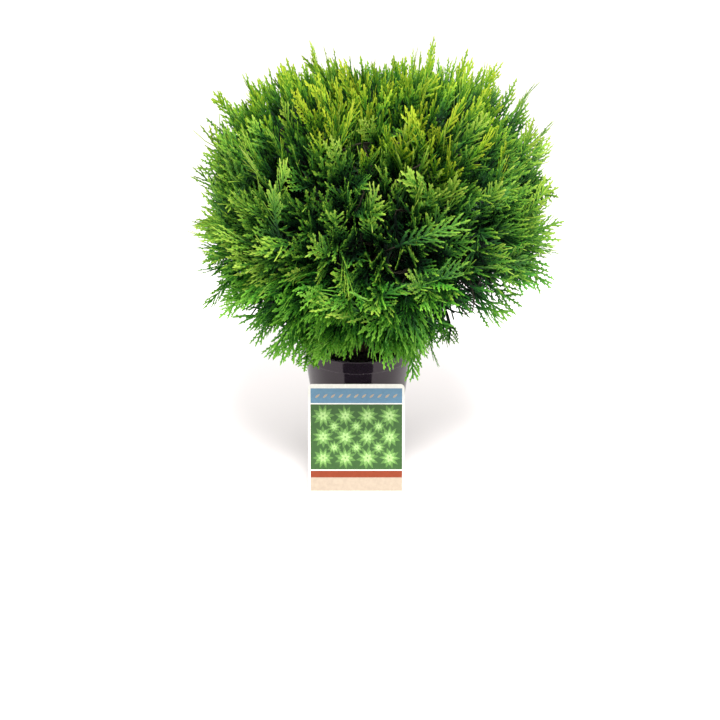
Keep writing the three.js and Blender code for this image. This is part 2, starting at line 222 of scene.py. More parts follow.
def bough_path(ring, index, turn, seed):
    """Quadratic Bezier from the trunk's axis to a dipped point in the crown, its middle lifted."""
    _, count, elevation, _, start, end, stride, dip, reach = ring
    height = start + (end - start) * ((index * stride) % count) / count
    foot, tip = TRUNK_PATH[0, 2], TRUNK_PATH[-1, 2]
    root = point_along(TRUNK_PATH, (height - foot) / (tip - foot))[0]
    end_point = crown_point(direction_at(turn, math.radians(elevation - dip)), reach)
    low, high = BOUGH_LIFTS
    middle = (root + end_point) / 2 + UP * (low + (high - low) * chance(seed, BOUGH_SEED))
    return bezier(root, middle, end_point, np.linspace(0, 1, DENSE)[:, None])


def lay_out_masses():
    """Every mass of every ring with its axis, its limb's path and its fork."""
    masses = []
    for ring in RINGS:
        name, count, elevation, first = ring[:4]
        for index in range(count):
            turn = math.radians(first + 360 * index / count)
            seed = len(masses) + 1
            axis = direction_at(turn, math.radians(elevation))
            limb = TRUNK_PATH if count == 1 else bough_path(ring, index, turn, seed)
            masses.append({
                "label": name if count == 1 else f"{name}_{index + 1}",
                "ring": name,
                "seed": seed,
                "axis": axis,
                "limb": limb,
                "fork": crown_point(axis, STEM_END),
            })
    return masses


MASSES = lay_out_masses()


# ---- meshes


def make_piece(name, points, corners, materials, tones=None, smooth=False):
    """A mesh object from an array of points, rows of three corners and each face's material."""
    mesh = bpy.data.meshes.new(name)
    mesh.vertices.add(len(points))
    mesh.vertices.foreach_set("co", np.ascontiguousarray(points, dtype=np.float32).ravel())
    mesh.loops.add(corners.size)
    mesh.loops.foreach_set("vertex_index", np.ascontiguousarray(corners, dtype=np.int32).ravel())
    mesh.polygons.add(len(corners))
    mesh.polygons.foreach_set("loop_start", np.arange(0, corners.size, 3, dtype=np.int32))
    for material in materials:
        mesh.materials.append(material)
    if tones is not None:
        mesh.polygons.foreach_set("material_index", np.ascontiguousarray(tones, dtype=np.int32))
    mesh.polygons.foreach_set("use_smooth", np.full(len(corners), smooth, dtype=bool))
    mesh.update(calc_edges=True)
    mesh.validate()
    piece = bpy.data.objects.new(name, mesh)
    bpy.context.scene.collection.objects.link(piece)
    return piece


def joined(parts):
    """Points, corners and tones of parts put one after the other. A part's tone is one number for
    all its faces or one for each."""
    points, corners, tones = zip(*parts)
    starts = np.cumsum([0, *map(len, points[:-1])])
    tones = [np.broadcast_to(tone, len(rows)) for tone, rows in zip(tones, corners)]
    corners = [rows + start for rows, start in zip(corners, starts)]
    return np.vstack(points), np.vstack(corners), np.concatenate(tones)


def copied(corners, count, step):
    """The corners of a number of copies of a mesh whose points follow each other in even steps."""
    return (corners + np.arange(count)[:, None, None] * step).reshape(-1, 3)


def grid_corners(rows, columns, wrap):
    """Two triangles for each cell of a grid whose points run column by column in each row."""
    row = np.arange(rows - 1)[:, None]
    column = np.arange(columns if wrap else columns - 1)[None]
    after = (column + 1) % columns
    a, b = row * columns + column, row * columns + after
    c, d = b + columns, a + columns
    return np.stack([a, b, c, a, c, d], axis=-1).reshape(-1, 3)


def capped_corners(rows, columns):
    """The cells of a grid that closes on itself, and a fan at each end to the two points that come
    after the grid's own: first the foot's, then the head's."""
    side = np.arange(columns)
    after = (side + 1) % columns
    end, last = rows * columns, (rows - 1) * columns
    foot = np.stack([np.full(columns, end), after, side], axis=-1)
    head = np.stack([np.full(columns, end + 1), side + last, after + last], axis=-1)
    return np.vstack([grid_corners(rows, columns, True), foot, head])


def tubes(paths, radii, sides, relief=None):
    """Round tubes: at each path point p with side vectors u and v, p + r(cos t u + sin t v), closed
    by a fan to the path's end points. relief(turn, row) multiplies r."""
    count, rows = paths.shape[:2]
    along = unit(np.gradient(paths, axis=1))
    mean = unit(paths[:, -1] - paths[:, 0])
    aside = np.where(np.abs(mean[:, 2:]) > 0.8, np.array([1.0, 0, 0]), UP)[:, None]
    u = unit(np.cross(along, aside))
    v = np.cross(along, u)
    turn = turns(sides)
    r = np.broadcast_to(radii, (count, rows))[..., None, None]
    if relief is not None:
        r = r * relief(turn, np.arange(rows) / (rows - 1))[..., None]
    ring = np.cos(turn)[:, None] * u[:, :, None] + np.sin(turn)[:, None] * v[:, :, None]
    rings = (paths[:, :, None] + r * ring).reshape(count, -1, 3)
    points = np.concatenate([rings, paths[:, [0, -1]]], axis=1)
    return points.reshape(-1, 3), copied(capped_corners(rows, sides), count, points.shape[1])


def turned(profile, columns):
    """A profile of (radius, height) rows carried round the upright axis: (r cos t, r sin t, z). Its
    first and last rows are on the axis."""
    profile = np.asarray(profile)
    turn = turns(columns)
    radius, height = profile[1:-1, :1], profile[1:-1, 1:]
    rings = np.stack([radius * np.cos(turn), radius * np.sin(turn), height + 0 * turn], axis=-1)
    points = np.vstack([rings.reshape(-1, 3), [[0, 0, profile[0, 1]], [0, 0, profile[-1, 1]]]])
    return points, capped_corners(len(profile) - 2, columns)


def softened(profile, reach, steps):
    """Rounds each inner corner of a profile by a quadratic Bezier that starts and ends a reach off,
    between two rows a little further off that keep the long faces flat."""
    profile = np.array(profile)
    rows = [profile[0]]
    for before, corner, after in zip(profile, profile[1:], profile[2:]):
        ways = [(unit(end - corner), np.linalg.norm(end - corner)) for end in (before, after)]
        start, end = (corner + way * min(reach, length / 3) for way, length in ways)
        first, last = (corner + way * min(1.6 * reach, length / 2.5) for way, length in ways)
        rows += [first, *(bezier(start, corner, end, s) for s in np.linspace(0, 1, steps)), last]
    return np.array([*rows, profile[-1]])


def smooth_by_angle(piece, degrees):
    """Marks the edges whose faces meet at more than an angle as sharp, and smooths the rest."""
    piece.data.polygons.foreach_set("use_smooth", np.full(len(piece.data.polygons), True))
    piece.data.set_sharp_from_angle(angle=math.radians(degrees))


# ---- materials


def principled(name, color, roughness, specular=0.5):
    """A new material with one Principled shader, its plain values set on its own sockets."""
    material = bpy.data.materials.new(name)
    material.use_nodes = True
    shader = material.node_tree.nodes["Principled BSDF"]
    shader.inputs["Base Color"].default_value = (*color, 1)
    shader.inputs["Roughness"].default_value = roughness
    shader.inputs["Specular IOR Level"].default_value = specular
    return material


def mottled(name, color, darkest, size, roughness, bump, stretch=(1, 1, 1), specular=0.5):
    """Noise on Object coordinates between a colour and its darkest share, and between two
    roughnesses, with a fine bump. size is the width of a fleck, and stretch scales the pattern."""
    material = principled(name, color, roughness[1], specular)
    nodes, links = material.node_tree.nodes, material.node_tree.links

    def add(kind, values):
        made = nodes.new(f"ShaderNode{kind}")
        for socket, value in values.items():
            made.inputs[socket].default_value = value
        return made

    shader = nodes["Principled BSDF"]
    place = add("TexCoord", {})
    mapping = add("Mapping", {"Scale": stretch})
    noise = add("TexNoise", {"Scale": 1 / size, "Detail": 5})
    spread = add("MapRange", {"From Min": 0.3, "From Max": 0.7})
    gloss = add("MapRange", {"To Min": roughness[0], "To Max": roughness[1]})
    relief = add("Bump", {"Strength": 0.6, "Distance": bump})
    blend = add("Mix", {})
    blend.data_type = "RGBA"
    blend.inputs[6].default_value = (*(channel * darkest for channel in color), 1)
    blend.inputs[7].default_value = (*color, 1)
    links.new(place.outputs["Object"], mapping.inputs["Vector"])
    links.new(mapping.outputs["Vector"], noise.inputs["Vector"])
    for user, socket in ((spread, "Value"), (gloss, "Value"), (relief, "Height")):
        links.new(noise.outputs["Fac"], user.inputs[socket])
    links.new(spread.outputs["Result"], blend.inputs[0])
    links.new(blend.outputs[2], shader.inputs["Base Color"])
    links.new(gloss.outputs["Result"], shader.inputs["Roughness"])
    links.new(relief.outputs["Normal"], shader.inputs["Normal"])
    return material


# ---- settings


def size_of(name, description, default):
    """A length among an operator's settings, in metres."""
    return FloatProperty(
        name=name, description=description, default=default, unit="LENGTH", precision=5)


def color_of(name, wearer, default, **more):
    """A colour among an operator's settings, with what wears it."""
    return FloatVectorProperty(
        name=name, description=f"Colour of {wearer}", default=default, subtype="COLOR",
        min=0, max=1, **more)


class PotSettings(bpy.types.PropertyGroup):
    height: size_of("Height", "Height of the pot over its underside", 125 * MM)
    rim_radius: size_of("Rim radius", "Outer radius of the rim", 52.5 * MM)
    band_height: size_of("Band height", "Height of the band under the rim", 12.5 * MM)
    wall: size_of("Wall", "Thickness of the wall", 1.6 * MM)
    plastic: color_of("Plastic", "the glossy plastic", (0.010, 0.007, 0.011))
    sheen: color_of("Sheen", "the plastic's reflections", (1, 0.90, 0.95, 1), size=4)


class SoilSettings(bpy.types.PropertyGroup):
    lump: size_of("Lumps", "Height of the soil's lumps", 1.6 * MM)
    crumbs: IntProperty(name="Crumbs", description="Number of loose crumbs", default=900, min=1)
    crumb_size: size_of("Crumb size", "Half width of a large crumb", 1.5 * MM)
    peat: color_of("Peat", "the moist peat", (0.022, 0.014, 0.010))
    chip: color_of("Chips", "the bark chips in it", (0.105, 0.035, 0.018))


class LabelSettings(bpy.types.PropertyGroup):
    width: size_of("Width", "Width of the card", 87 * MM)
    length: size_of("Length", "Length of the card", 111 * MM)
    thickness: size_of("Thickness", "Thickness of the card", 0.8 * MM)
    bow: size_of("Bow", "How far the card bows forward in its middle", 0.5 * MM)
    card: color_of("Card", "the bare card", (0.86, 0.84, 0.78))
    header: color_of("Header", "the band across the top", (0.122, 0.252, 0.375))
    field: color_of("Field", "the field behind the leaves", (0.045, 0.11, 0.03))
    outer: color_of("Outer leaves", "a rosette's outer leaves", (0.11, 0.24, 0.055))
    middle: color_of("Middle leaves", "a rosette's middle leaves", (0.20, 0.38, 0.10))
    inner: color_of("Inner leaves", "a rosette's inner leaves", (0.36, 0.56, 0.20))
    line: color_of("Line", "the line under the field", (0.25, 0.043, 0.014))
    cream: color_of("Cream", "the strip under the line", (0.44, 0.355, 0.27))


# The card's inks, each under the name of its colour's setting
INKS = {
    "card": "card_plastic", "header": "header_ink", "field": "field_ink", "outer": "outer_leaf_ink",
    "middle": "middle_leaf_ink", "inner": "inner_leaf_ink", "line": "line_ink", "cream": "cream_ink",
}


class WoodSettings(bpy.types.PropertyGroup):
    relief: FloatProperty(
        name="Bark relief", description="Depth of the bark's strips as a share of the radius",
        default=0.13, min=0, max=0.4)
    twigs: IntProperty(name="Twigs", description="Twigs in each mass", default=9, min=3)
    bark: color_of("Bark", "the bark's strips", (0.095, 0.047, 0.028))
    twig: color_of("Twig", "the young twigs", (0.032, 0.024, 0.009))


class FoliageSettings(bpy.types.PropertyGroup):
    sites: IntProperty(
        name="Sites", description="Places for sprays in each mass", default=240, min=10)
    side_shoots: IntProperty(
        name="Side shoots", description="Shoots on each spray", default=13, min=2)
    spray: size_of("Spray", "Length of a full spray", 67 * MM)
    shoot: size_of("Shoot", "Length of a full side shoot", 27 * MM)
    lobe: size_of("Lobe", "Length of a shoot's lobe", 3.5 * MM)
    thread: size_of("Thread", "Width of a shoot", 1.9 * MM)
    # The tones run from dark to light and are dealt out by depth, height and place. So the dark ones
    # are largely painted shade inside the crown, and the light ones partly painted light on its top
    # and tips, besides the real darker old leaf and lighter young growth.
    heart: color_of("Heart", "the oldest, inmost leaf", (0.002, 0.007, 0.003))
    deep: color_of("Deep", "deep inner leaf", (0.002, 0.019, 0.004))
    shade: color_of("Shade", "inner leaf", (0.006, 0.045, 0.006))
    low: color_of("Low", "low leaf", (0.018, 0.092, 0.008))
    side: color_of("Side", "leaf at the sides", (0.040, 0.152, 0.010))
    fresh: color_of("Fresh", "fresh leaf", (0.080, 0.226, 0.014))
    lime: color_of("Lime", "young leaf", (0.152, 0.312, 0.019))
    bright: color_of("Bright", "the youngest leaf", (0.215, 0.362, 0.026))
    tip: color_of("Tip", "new tips", (0.275, 0.405, 0.038))


class StageSettings(bpy.types.PropertyGroup):
    floor_radius: size_of("Floor", "Radius of the pale floor", 14)
    camera_side: size_of("Camera side", "How far to the right the camera stands", 1.88 * MM)
    camera_distance: size_of("Camera distance", "How far in front the camera stands", 780.36 * MM)
    camera_height: size_of("Camera height", "Height of the camera over the floor", 456.24 * MM)
    floor: color_of("Floor colour", "the floor", (0.965, 0.915, 0.905))
    world: FloatProperty(name="Room light", description="Strength of the white room", default=1.25)
    key: FloatProperty(
        name="Key light", description="Power of the large lamp", default=24, unit="POWER")


LEAF_TONES = ("heart", "deep", "shade", "low", "side", "fresh", "lime", "bright", "tip")


# ---- pot and soil


TAPER = math.radians(7)
BAND_INSET = 2.1 * MM
FLOOR_THICKNESS = 2.2 * MM
SOIL_DEPTH = 13 * MM
SOIL_FALL = 3 * MM
SOIL_FLAT = 16 * MM


def wall_radius(pot, height):
    """Outer radius of the pot's wall: it narrows by the taper from the foot of its band."""
    return pot.rim_radius - BAND_INSET - (pot.height - pot.band_height - height) * math.tan(TAPER)


def pot_profile(pot):
    """The pot's outline from the middle of its underside up the outside, over the rim and down the
    inside to the middle of its floor, as (radius, height)."""
    foot, rim = pot.height - pot.band_height, pot.rim_radius
    band = rim - 0.8 * MM
    return [
        (0, 0),
        (wall_radius(pot, 0) - 1.5 * MM, 0),
        (wall_radius(pot, 1.5 * MM), 1.5 * MM),
        (wall_radius(pot, foot), foot),
        (band - 0.15 * MM, foot + 0.5 * MM),
        (band, foot + 1.6 * MM),
        (rim - 0.25 * MM, pot.height - 2.2 * MM),
        (rim, pot.height - 1.3 * MM),
        (rim - 0.3 * MM, pot.height),
        (rim - pot.wall, pot.height - 0.2 * MM),
        (wall_radius(pot, foot) - pot.wall, foot),
        (wall_radius(pot, FLOOR_THICKNESS) - pot.wall, FLOOR_THICKNESS),
        (0, FLOOR_THICKNESS),
    ]


def drilled(piece, radius, ring, count, depth):
    """Cuts a ring of round holes through a piece by one Boolean with turned plugs."""
    plug, corners = turned([(0, -depth), (radius, -depth), (radius, depth), (0, depth)], 24)
    places = ring * np.stack([np.cos(turns(count)), np.sin(turns(count)), np.zeros(count)], axis=-1)
    points, faces, _ = joined([(plug + place, corners, 0) for place in places])
    cutter = make_piece("drain_plugs", points, faces, [])
    cut = piece.modifiers.new("drain_holes", "BOOLEAN")
    cut.object = cutter
    cut.solver = "EXACT"
    graph = bpy.context.evaluated_depsgraph_get()
    mesh = bpy.data.meshes.new_from_object(piece.evaluated_get(graph))
    piece.modifiers.clear()
    piece.data = mesh
    bpy.data.objects.remove(cutter)


def soil_edge(pot, height):
    """Radius at which the soil meets the wall's inside."""
    return wall_radius(pot, height) - pot.wall - GAP


def soil_height(pot, x, y):
    """Height of the soil's top: flat round the trunk, then falling evenly to the wall."""
    edge = soil_edge(pot, pot.height - SOIL_DEPTH)
    return SOIL_TOP - SOIL_FALL * np.clip((np.hypot(x, y) - SOIL_FLAT) / (edge - SOIL_FLAT), 0, 1)


class ARBORVITAE_OT_add_pot(bpy.types.Operator):
    """Turn the pot's outline round its axis and drill its drain holes"""
    bl_idname = "arborvitae.add_pot"
    bl_label = "Add Pot"

    def execute(self, context):
        pot = context.scene.arborvitae_pot
        points, corners = turned(softened(pot_profile(pot), 0.45 * MM, 4), 192)
        plastic = mottled(
            "glossy_black_plastic", pot.plastic, 0.8, 4 * MM, (0.07, 0.13), 0.01 * MM,
            specular=0.32)
        plastic.node_tree.nodes["Principled BSDF"].inputs["Specular Tint"].default_value = pot.sheen
        piece = make_piece("pot_shell", points, corners, [plastic], smooth=True)
        drilled(piece, radius=3.6 * MM, ring=26 * MM, count=6, depth=6 * MM)
        smooth_by_angle(piece, 38)
        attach(piece, "root")
        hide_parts("pot")
        return {"FINISHED"}


# Layers of lumps on the soil: width of a lump, seed, share of the full height
SOIL_LUMPS = ((9 * MM, 3, 0.9), (3.4 * MM, 4, 0.7), (1.5 * MM, 5, 0.4))
CRUMB_SEED = 500
CRUMB_RING = 9.5 * MM
CHIP_SHARE = 0.14


class ARBORVITAE_OT_add_soil(bpy.types.Operator):
    """Fill the pot with lumpy soil and strew loose crumbs over it"""
    bl_idname = "arborvitae.add_soil"
    bl_label = "Add Soil"

    def execute(self, context):
        pot, soil = context.scene.arborvitae_pot, context.scene.arborvitae_soil
        foot, edge = 2.5 * MM, soil_edge(pot, pot.height - SOIL_DEPTH)
        top = [(edge * r, SOIL_TOP) for r in np.linspace(1, 0, 70)]
        points, corners = turned([(0, foot), (soil_edge(pot, foot), foot), *top], 220)
        lumps = sum(lattice_noise(points, size, seed) * height for size, seed, height in SOIL_LUMPS)
        reach = np.hypot(points[:, 0], points[:, 1])
        calm = 1 - smooth_step(reach, 0.9 * edge, edge)
        level = soil_height(pot, points[:, 0], points[:, 1]) + lumps * soil.lump * calm
        points[:, 2] = np.where(points[:, 2] > foot, level, points[:, 2])
        peat = mottled("moist_peat", soil.peat, 0.45, 1.4 * MM, (0.75, 0.95), 0.4 * MM)
        chip = mottled("bark_chip", soil.chip, 0.4, 1.0 * MM, (0.7, 0.9), 0.2 * MM)
        piece = make_piece("potting_soil_fill", points, corners, [peat], smooth=True)
        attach(piece, "root")
        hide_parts("potting_soil")
        points, corners, tones = soil_crumbs(pot, soil)
        crumbs = make_piece("potting_soil_crumbs", points, corners, [peat, chip], tones)
        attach(crumbs, "root")
        return {"FINISHED"}


def soil_crumbs(pot, soil):
    """Eight-faced crumbs: the six tips of three uneven half axes, turned at random and sunk in the
    soil at places r = R sqrt(k/n) on a golden spiral. A few are chips."""
    k = np.arange(soil.crumbs)

    def draw(step):
        return chance(k + 1.0, CRUMB_SEED + step)

    edge = wall_radius(pot, pot.height - SOIL_DEPTH) - pot.wall - 2.5 * MM
    reach = CRUMB_RING + (edge - CRUMB_RING) * np.sqrt((k + 0.5) / len(k))
    turn = k * GOLDEN_TURN + draw(0)
    x, y = reach * np.cos(turn), reach * np.sin(turn)
    half = soil.crumb_size * (0.3 + 0.7 * draw(1) ** 3)
    place = np.stack([x, y, soil_height(pot, x, y) + half * 0.6], axis=-1)
    sizes = np.stack([0.7 + draw(5), 0.5 + 0.5 * draw(6), 0.4 + 0.3 * draw(7)], axis=-1)
    arms = random_frames(draw(2), draw(3), draw(4)) * (half[:, None] * sizes)[..., None]
    points = place[:, None] + np.stack([arms, -arms], axis=2).reshape(-1, 6, 3)
    upper = np.array([[0, 2, 4], [2, 1, 4], [1, 3, 4], [3, 0, 4]])
    faces = np.vstack([upper, upper[:, [1, 0, 2]] + [0, 0, 1]])
    tones = np.repeat(draw(8) > 1 - CHIP_SHARE, len(faces))
    return points.reshape(-1, 3), copied(faces, len(k), 6), tones


def random_frames(a, b, c):
    """Three square vectors for each triple of numbers: a direction from a turn and a height, a side
    vector square to it, turned by the third number, and their cross product."""
    turn, height = FULL_TURN * a, 2 * b - 1
    across = np.sqrt(1 - height**2)
    first = np.stack([across * np.cos(turn), across * np.sin(turn), height], axis=-1)
    side = unit(np.cross(first, NEARLY_UP))
    roll = (FULL_TURN * c)[:, None]
    second = side * np.cos(roll) + np.cross(first, side) * np.sin(roll)
    return np.stack([first, second, np.cross(first, second)], axis=1)


# ---- label


LEAN_HEIGHT = 102 * MM
LABEL_SIDE = -1.4 * MM
PRINT_LIFT = 0.05 * MM
CARD_CORNER = 3.6 * MM

# The card's bands: ink, and foot and top as shares of the card's length
BANDS = (
    ("header", 0.845, 0.965), ("field", 0.305, 0.835), ("line", 0.24, 0.295), ("cream", 0.13, 0.24),
)

# The rosettes on its field: leaves, reach as a share of the radius and ink of each ring, the steps
# between them across and up, and the field's middle. Then a small leaf on its header, foot to tip
ROSETTE_RINGS = ((10, 1.0, "outer"), (8, 0.72, "middle"), (6, 0.44, "inner"))
ROSETTE_STEP = np.array([20, 19]) * MM
FIELD_MIDDLE = np.array([0, 63.3]) * MM
HEADER_LEAF = np.array([4.2, 3.4]) * MM


def card_point(pot, label, u, v, lift):
    """Place on the leaning card: u across from -1 to 1 and v up from 0 to 1 on a plane that leans on
    the wall, plus its normal times bow (1-u^2) 4v(1-v) and the lift."""
    run = math.sqrt(label.length**2 - LEAN_HEIGHT**2)
    foot = np.array([LABEL_SIDE, -(wall_radius(pot, LEAN_HEIGHT) + GAP + run), GAP])
    rise = np.array([0, run, LEAN_HEIGHT]) / label.length
    outward = np.array([0, -LEAN_HEIGHT, run]) / label.length
    lift = lift + label.bow * (1 - u**2) * 4 * v * (1 - v)
    across = np.array([label.width / 2, 0, 0])
    u, v, lift = (np.asarray(value)[..., None] for value in (u, v, lift))
    return foot + across * u + rise * label.length * v + outward * lift


def card_grid(pot, label, u, v, lift):
    """A sheet of the card between arrays of u and v given at each grid point."""
    return card_point(pot, label, u, v, lift).reshape(-1, 3), grid_corners(*u.shape, False)


def rounded_card(pot, label, corner):
    """The card as a closed slab. Near its ends a row's half width shrinks by the corner's circle,
    r - sqrt(r^2 - d^2), where d is how far the row is inside the corner's height."""
    near = corner * (1 - np.cos(np.linspace(0, math.pi / 2, 9))) / label.length
    v = np.unique(np.concatenate([
        near, np.linspace(corner / label.length, 1 - corner / label.length, 20), 1 - near]))
    inside = np.maximum(0, corner - np.minimum(v, 1 - v) * label.length)
    cut = corner - np.sqrt(np.maximum(corner**2 - inside**2, 0))
    u = (1 - cut / (label.width / 2))[:, None] * np.linspace(-1, 1, 25)[None]
    v = np.broadcast_to(v[:, None], u.shape)
    front, corners = card_grid(pot, label, u, v, label.thickness)
    back, _ = card_grid(pot, label, u, v, 0.0)
    index = np.arange(u.size).reshape(u.shape)
    rim = np.concatenate([index[0], index[1:, -1], index[-1, -2::-1], index[-2:0:-1, 0]])
    after = np.roll(rim, -1)
    sides = np.vstack([
        np.stack([rim, rim + u.size, after + u.size], axis=-1),
        np.stack([rim, after + u.size, after], axis=-1)])
    return np.vstack([front, back]), np.vstack([corners, corners[:, ::-1] + u.size, sides])


def printed_leaf(pot, label, foot, tip, width, lift):
    """A leaf on the card: half width w sin(pi t)^0.8 (1 - 0.35t) along the line from foot to tip,
    both in metres across from the card's middle and up from its foot."""
    size = np.array([label.width / 2, label.length])
    along = tip - foot
    across = unit(np.array([-along[1], along[0]]))
    t = np.linspace(0.0, 1.0, 8)[:, None]
    half = width * np.sin(np.pi * np.clip(t, 0.006, 0.994)) ** 0.8 * (1 - 0.35 * t)
    half = half * np.linspace(-1, 1, 3)
    place = (foot + along * t[..., None] + across * half[..., None]) / size
    return card_grid(pot, label, place[..., 0], place[..., 1], lift)


def rosette(pot, label, middle, radius, turn, lift):
    """Rings of printed leaves round a middle, each ring shorter, lighter and laid over the last."""
    parts = []
    for ring, (count, reach, ink) in enumerate(ROSETTE_RINGS):
        for i in range(count):
            angle = turn + FULL_TURN * (i + 0.5 * ring) / count
            out = np.array([math.cos(angle), math.sin(angle)]) * radius
            shape = printed_leaf(
                pot, label, middle + out * 0.05, middle + out * reach, radius * 0.19 * reach**0.5,
                lift + (0.02 * ring + 0.0015 * i) * MM)
            parts.append((*shape, list(INKS).index(ink)))
    return parts


class ARBORVITAE_OT_add_label(bpy.types.Operator):
    """Lean the picture label on the pot and lay its print on it"""
    bl_idname = "arborvitae.add_label"
    bl_label = "Add Label"

    def execute(self, context):
        pot, label = context.scene.arborvitae_pot, context.scene.arborvitae_label
        inks = [
            mottled(name, getattr(label, ink), 0.88, 3 * MM, (0.3, 0.4), 0.01 * MM)
            for ink, name in INKS.items()]
        points, corners = rounded_card(pot, label, CARD_CORNER)
        piece = make_piece("picture_label_card", points, corners, inks[:1])
        smooth_by_angle(piece, 40)
        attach(piece, "root")
        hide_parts("label_card")
        face = label.thickness + PRINT_LIFT
        parts = []
        for ink, low, high in BANDS:
            u, v = np.meshgrid(np.linspace(-0.95, 0.95, 25), np.linspace(low, high, 17))
            parts.append((*card_grid(pot, label, u, v, face), list(INKS).index(ink)))
        large = [
            (i % 4 - 1.5, i // 4 - 1, 11 * (0.86 + 0.04 * (i % 3)), 0.4 * i, 0.02 + 0.005 * i)
            for i in range(12)]
        small = [(i % 3 - 1, i // 3 - 0.5, 6.5, 0.3 + 0.5 * i, 0.16) for i in range(6)]
        for column, row, radius, turn, lift in large + small:
            middle = FIELD_MIDDLE + ROSETTE_STEP * (column, row)
            parts += rosette(pot, label, middle, radius * MM, turn, face + lift * MM)
        for i in range(11):
            foot = np.array([(i - 5.3) * 7, 98.6]) * MM
            leaf = printed_leaf(
                pot, label, foot, foot + HEADER_LEAF, 1.1 * MM, face + PRINT_LIFT)
            parts.append((*leaf, list(INKS).index("cream")))
        points, corners, tones = joined(parts)
        printed = make_piece("picture_label_print", points, corners, inks, tones)
        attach(printed, "root")
        piece.visible_glossy = printed.visible_glossy = False
        return {"FINISHED"}


# ---- wood


def bark_relief(strips, depth, seed):
    """Stringy bark: 1 + depth times two waves round the limb whose phase wanders along it."""
    def relief(turn, row):
        t, s = turn[None, None], row[None, :, None]
        wander = 0.9 * np.sin(5.1 * s + seed) + 0.5 * np.sin(13.7 * s + 2 * seed)
        ridge = np.abs(np.sin(strips / 2 * t + wander))
        fine = np.sin((strips * 2 + 1) * t - 2.3 * wander + 9 * s)
        return 1 + depth * (ridge - 0.75) + 0.25 * depth * fine
    return relief


def limb_tube(path, radii, rows, sides, relief):
    """A tube along a dense path, its radius read between even steps of the radii."""
    fractions = np.linspace(0, 1, rows)
    places = point_along(path, fractions)
    radius = np.interp(fractions, np.linspace(0, 1, len(radii)), radii)
    return tubes(places[None], radius[None], sides, relief)


class ARBORVITAE_OT_add_limbs(bpy.types.Operator):
    """Give the trunk and the main boughs their bark"""
    bl_idname = "arborvitae.add_limbs"
    bl_label = "Add Trunk and Boughs"

    def execute(self, context):
        wood = context.scene.arborvitae_wood
        bark = mottled(
            "stringy_bark", wood.bark, 0.35, 2.2 * MM, (0.8, 0.95), 0.25 * MM, stretch=(1, 1, 0.2))
        relief = bark_relief(11, wood.relief, 1)
        points, corners = limb_tube(TRUNK_PATH, TRUNK_RADII, 150, 54, relief)
        points[:, 2] = np.maximum(points[:, 2], SOIL_TOP + GAP)
        trunk = make_piece("trunk_bark", points, corners, [bark], smooth=True)
        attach(trunk, "root")
        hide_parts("trunk")
        points, corners, _ = joined([
            (*limb_tube(
                mass["limb"], BOUGH_RADII, 50, 20, bark_relief(7, wood.relief, mass["seed"])), 0)
            for mass in MASSES[1:]])
        boughs = make_piece("boughs_bark", points, corners, [bark], smooth=True)
        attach(boughs, "root")
        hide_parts(*(f"bough_{mass['label']}" for mass in MASSES[1:]))
        return {"FINISHED"}


# ---- foliage rule


TWIG_SPREAD = math.radians(27)
TWIG_REACH = 0.72
TWIGLET_RUN = 14 * MM
SITE_SPREAD = math.radians(36)
SITE_SLACK = 0.035

# Layers of sprays: least reach and its spread at the crown's face, under it and deep inside, the
# draws over which a spray is in the last two, what a leader adds, and how far out a root may be
FACE_REACH, UNDER_REACH, INNER_REACH = (0.88, 0.09), (0.76, 0.12), (0.56, 0.2)
UNDER_SHARE, INNER_SHARE = 0.64, 0.79
LEADER_REACH = 0.10
ROOT_REACH = 0.86

# Room left for wood and pot: off the limbs' bark, the radius within which sprays are over the pot,
# and their least heights over and beside it
LIMB_MARGIN = 1.2 * MM
POT_CLEARANCE, OVER_POT, BESIDE_POT = 57.5 * MM, 127 * MM, 116 * MM

# Changes by place: direction from the crown's centre, the cosines off it between which the change
# sets in, and the change. The reach at the face changes by a share of the crown's, the tone by steps
# of the palette, and a hollow leaves out that share of the sprays outside the inner layer. The tone
# changes are painted light and shade: lighter where light falls on the crown, darker where it lies
# in shadow.
REACH_CHANGES = (
    ((0.83, -0.28, 0.48), 0.92, 0.99, -0.09),
    ((0.55, -0.48, -0.69), 0.93, 0.99, -0.12),
    ((0.85, -0.37, -0.38), 0.96, 0.99, 0.04),
    ((0.82, -0.39, -0.45), 0.97, 0.995, 0.09),
    ((-0.60, -0.37, -0.71), 0.93, 0.99, 0.03),
    ((-0.12, -0.47, -0.87), 0.975, 0.995, -0.05),
    ((0.33, -0.52, -0.79), 0.96, 0.99, 0.09),
    ((-0.97, -0.1, 0.25), 0.95, 0.99, -0.04),
    ((-0.57, 0.28, 0.77), 0.96, 0.995, 0.05),
    ((0.76, 0.01, 0.65), 0.996, 0.999, 0.11),
    ((-0.37, 0.37, 0.85), 0.996, 0.999, 0.05),
    ((0.34, 0.34, 0.87), 0.996, 0.999, 0.10),
)
# Painted light and shade on the crown, as steps of tone
PAINTED_LIGHT_AND_SHADE = (
    ((0.50, -0.40, 0.75), 0.75, 0.97, 0.2),
    ((0.33, -0.76, 0.56), 0.93, 0.985, 2.2),
    ((0.46, -0.88, 0.10), 0.975, 0.997, -1.2),
    ((0.75, -0.40, 0.58), 0.93, 0.985, 1.7),
    ((-0.20, -0.55, 0.81), 0.92, 0.985, 1.9),
    ((0.30, -0.94, 0.15), 0.955, 0.995, -0.9),
    ((0.79, -0.56, -0.22), 0.93, 0.99, -1.6),
    ((-0.38, -0.60, 0.70), 0.88, 0.97, 0.8),
    ((-0.60, -0.72, -0.28), 0.90, 0.98, 0.6),
    ((0.8, -0.3, -0.5), 0.85, 0.97, 0.2),
    ((0.0, -1.0, 0.2), 0.85, 0.97, 0.5),
    ((-0.6, -0.65, -0.45), 0.7, 0.95, 1.1),
    ((0.05, -0.75, -0.65), 0.8, 0.97, 1.1),
    ((0.6, -0.7, -0.35), 0.8, 0.97, 0.9),
)
